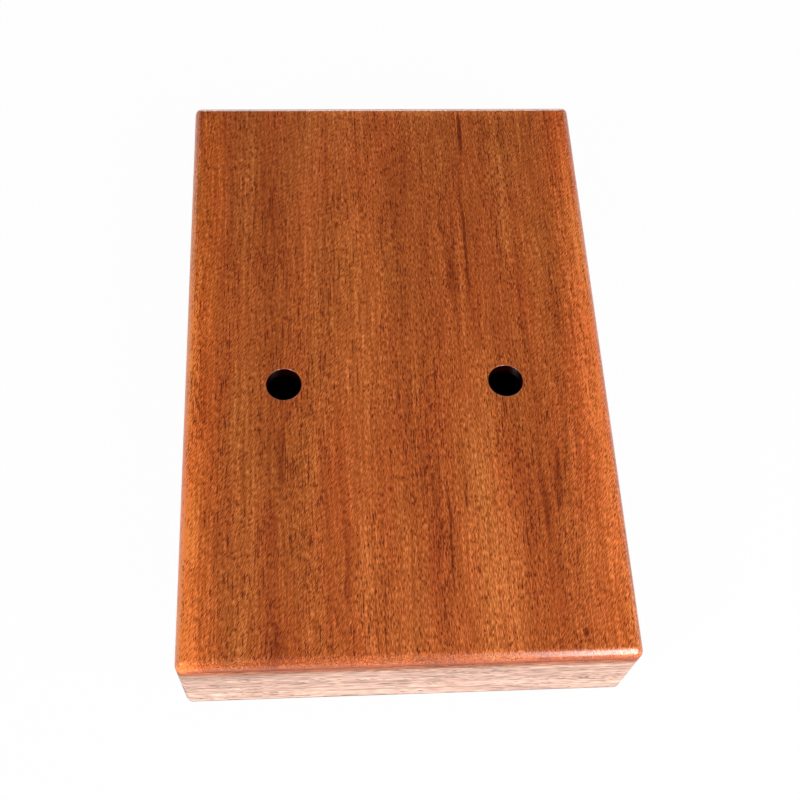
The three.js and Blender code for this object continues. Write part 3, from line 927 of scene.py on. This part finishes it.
def screw_shank(name, x, y, seat_z, point_z):
    """A threaded shank from under the head to its point."""
    rows = round((point_z - seat_z) / THREAD_PITCH * ROWS_PER_TURN)
    crest = SHANK_RADIUS - SHANK_INSET
    heights = evenly(seat_z, point_z, rows)
    points = [(z, max(POINT_RADIUS, crest * point_taper(z, point_z))) for z in heights]
    bm = turned(points, SHANK_STEPS, lambda z, turn: thread(z, turn) * point_taper(z, point_z))
    bmesh.ops.translate(bm, vec=(x, y, 0), verts=bm.verts)
    return new_object(name, bm, bright_steel)


def bridge_screw(node, x, y):
    low, high = mm_box(node)
    head = screw_head(f"steel_{node}", x, y, low[2], (high[0] - low[0]) / 2)
    shank = screw_shank(f"steel_{node}_shank", x, y, low[2] + HEAD_HEIGHT, high[2])
    keep(head, node)
    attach(shank, "box")


for screw_node, screw_place in zip(screw_nodes, screw_places):
    bridge_screw(screw_node, *screw_place)


# Tines
def half_width(along, tip):
    """Half of the strip's width at a place along it."""
    flare = (along - tip - TIP_FLAT) / TIP_FLARE
    t = min(1.0, max(0.0, flare))
    return TIP_WIDTH / 2 + (TINE_WIDTH - TIP_WIDTH) / 2 * t * t * (3 - 2 * t)


def strip_side(tip, inset):
    """(x, along) down the right side of the strip, from its tail to its round tip."""
    round_at = tip + TIP_WIDTH / 2
    stations = [TINE_TAIL - inset]
    stations += evenly(TINE_TAIL - TAIL_STATION, tip + TIP_STRETCH, STRIP_STEPS)
    stations += evenly(tip + TIP_STRETCH, round_at, FLARE_STEPS)[1:]
    side = [(half_width(along, tip) - inset, along) for along in stations]
    radius = TIP_WIDTH / 2 - inset
    arc = [math.radians(angle) for angle in evenly(0, TIP_ARC, TIP_STEPS)[1:]]
    return side + [(radius * math.cos(a), round_at - radius * math.sin(a)) for a in arc]


def tine(node):
    """A strip with rounded edges whose playing end widens and curls up."""
    low, high = mm_box(node)
    x_middle = (low[0] + high[0]) / 2
    outer = TIP_BEND_RADIUS + TINE_THICKNESS
    over = TINE_UNDER + TINE_THICKNESS
    tip_height = over + TIP_BEND_RADIUS - outer * math.cos(TIP_BEND)
    length = (saddle_y + tip_height * math.sin(TINE_RISE) - low[1]) / math.cos(TINE_RISE)
    bend_at = outer * math.sin(TIP_BEND) - length
    mid_radius = TIP_BEND_RADIUS + TINE_THICKNESS / 2
    tip = bend_at - mid_radius * TIP_BEND

    def bent(x, along, height):
        """From the flat strip to its place; height is measured from the strip's underside."""
        y, z = along, TINE_UNDER + height
        if along < bend_at:
            turn = (bend_at - along) / mid_radius
            radius = outer - height
            y = bend_at - radius * math.sin(turn)
            z = over + TIP_BEND_RADIUS - radius * math.cos(turn)
        return (x_middle + x, saddle_y + y * math.cos(TINE_RISE) + z * math.sin(TINE_RISE),
                saddle_z + y * math.sin(TINE_RISE) - z * math.cos(TINE_RISE))

    bm = bmesh.new()
    rings = []
    for inset, height in side_levels(0, TINE_THICKNESS, TINE_EDGE, TINE_EDGE, EASE_STEPS, EASE_STEPS):
        right = strip_side(tip, inset)
        outline = right + [(-x, along) for x, along in reversed(right)]
        rings.append(ring(bm, [bent(x, along, height) for x, along in outline]))
    loft(bm, rings)
    for loop in (rings[0], rings[-1]):
        for i in range(len(loop) // 2 - 1):
            bm.faces.new((loop[i], loop[i + 1], loop[-2 - i], loop[-1 - i]))
    piece = even_normals(new_object(f"steel_{node}", bm, spring_steel))
    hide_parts(node)
    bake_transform(piece)


for joint in frame["joints"]:
    tine(joint["child"])


# Stage, light and camera, in metres
CAMERA_FROM_BACK = Vector((-0.02319, -0.17789, 0.30885))   # from the middle of the back face
CAMERA_AZIMUTH = 8.29
CAMERA_ELEVATION = 62.14
CAMERA_ROLL = 6.30
CAMERA_LENS = 55.0      # in millimetres, as is the sensor
CAMERA_SENSOR = 36.0
CAMERA_CLIP = 0.01
FLOOR_HALF = 3000.0     # in millimetres
FLOOR_DROP = 0.0001     # keeps the floor clear of the screw heads that lie on it
FLOOR_GREY = (0.92, 0.92, 0.92, 1.0)
FLOOR_GLOW = 0.97       # share of the floor's white that no shadow takes
WHITE = (1.0, 1.0, 1.0, 1.0)
WORLD_FRONT = 0.272
WORLD_BACK = 0.064
WORLD_SPAN = 0.9        # the share of a direction along Y at which those levels are reached
BACKDROP_TOP = 0.55     # height of the white backdrop, as the upward share of a direction
BACKDROP_EDGE = 0.2     # how soft its upper edge is
BACKDROP_SIDE = -0.3    # share of a direction along Y at which it begins

# Lamps: name, place, aim, width and height, and power in watts
LAMPS = (
    ("left", (-0.50, -0.55, 0.68), (0, 0, 0.03), 0.3, 0.3, 4.2),
    ("right", (0.50, -0.55, 0.68), (0, 0, 0.03), 0.5, 0.5, 2.95),
    ("strip", (0.20, -0.54, 0.25), (0.20, -0.09, 0.045), 0.11, 0.46, 2.18),
    ("fill", (0, 0.90, 0.14), (0, 0.09, 0.035), 0.9, 0.24, 3.0),
)

scene = bpy.context.scene


def camera_matrix(place, azimuth, elevation, roll):
    """Looks azimuth degrees from Y towards X and elevation degrees down; roll lifts the right side."""
    a, e, r = (math.radians(v) for v in (azimuth, elevation, roll))
    forward = Vector((math.sin(a) * math.cos(e), math.cos(a) * math.cos(e), -math.sin(e)))
    level = Vector((math.cos(a), -math.sin(a), 0))
    above = Vector((math.sin(a) * math.sin(e), math.cos(a) * math.sin(e), math.cos(e)))
    right = level * math.cos(r) + above * math.sin(r)
    up = above * math.cos(r) - level * math.sin(r)
    return Matrix.Translation(place) @ Matrix((right, up, -forward)).transposed().to_4x4()


def photo_camera():
    """A camera at the photograph's place and angle."""
    data = bpy.data.cameras.new("photo_camera")
    data.lens = CAMERA_LENS
    data.sensor_width = CAMERA_SENSOR
    data.clip_start = CAMERA_CLIP
    camera = bpy.data.objects.new("photo_camera", data)
    scene.collection.objects.link(camera)
    place = CAMERA_FROM_BACK + Vector((0, 0, CAD_BOX[1][2]))
    camera.matrix_world = camera_matrix(place, CAMERA_AZIMUTH, CAMERA_ELEVATION, CAMERA_ROLL)
    return camera


def background_rays(s, mirrored):
    """One for rays that show the background: from the camera, passed on, or mirrored where that is one."""
    path = s.add("ShaderNodeLightPath").outputs
    seen = s.math("MAXIMUM", path["Is Camera Ray"], path["Is Transmission Ray"])
    return s.math("MAXIMUM", seen, s.times(path["Is Glossy Ray"], mirrored))


def pale_floor():
    """A matt floor that shows white and keeps a little of the object's shadow."""
    s = Shader("pale_floor")
    glow = s.add("ShaderNodeEmission", {"Strength": 1.0}).outputs[0]
    matt = s.add("ShaderNodeBsdfDiffuse", {"Color": FLOOR_GREY}).outputs[0]
    share = s.times(background_rays(s, 1.0), FLOOR_GLOW)
    s.surface(s.add("ShaderNodeMixShader", {0: share, 1: matt, 2: glow}))
    bm = bmesh.new()
    corners = ((-1, -1), (1, -1), (1, 1), (-1, 1))
    bm.faces.new(ring(bm, [(x * FLOOR_HALF, y * FLOOR_HALF, 0) for x, y in corners]))
    plane = new_object("floor", bm, s.material)
    plane.location.z = CAD_BOX[0][2] - FLOOR_DROP
    return plane


def studio_world():
    """Light from all round: brighter in front, dim behind, and white where the background shows."""
    world = bpy.data.worlds.new("studio")
    world.use_nodes = True
    s = Nodes(world.node_tree)
    output = s.add("ShaderNodeOutputWorld")
    _, towards_head, up = s.xyz(s.add("ShaderNodeTexCoord").outputs["Generated"])
    level = s.spread(towards_head, -WORLD_SPAN, WORLD_SPAN, WORLD_FRONT, WORLD_BACK)
    low_down = s.spread(up, BACKDROP_TOP, BACKDROP_TOP - BACKDROP_EDGE)
    backdrop = s.times(low_down, s.spread(towards_head, BACKDROP_SIDE, 0.0))
    strength = s.blend(background_rays(s, backdrop), level, 1.0)
    background = s.add("ShaderNodeBackground", {"Color": WHITE, "Strength": strength})
    s.put(output.inputs["Surface"], background.outputs[0])
    return world


def softbox(name, place, aim, width, height, power):
    """A rectangular lamp that the camera does not see."""
    data = bpy.data.lights.new(name, "AREA")
    data.shape = "RECTANGLE"
    data.size = width
    data.size_y = height
    data.energy = power
    lamp = bpy.data.objects.new(name, data)
    scene.collection.objects.link(lamp)
    lamp.location = place
    lamp.rotation_euler = (Vector(aim) - Vector(place)).to_track_quat("-Z", "Y").to_euler()
    lamp.visible_camera = False


scene.camera = photo_camera()
floor = pale_floor()
scene.world = studio_world()
for lamp in LAMPS:
    softbox(*lamp)
scene.view_settings.view_transform = "Standard"
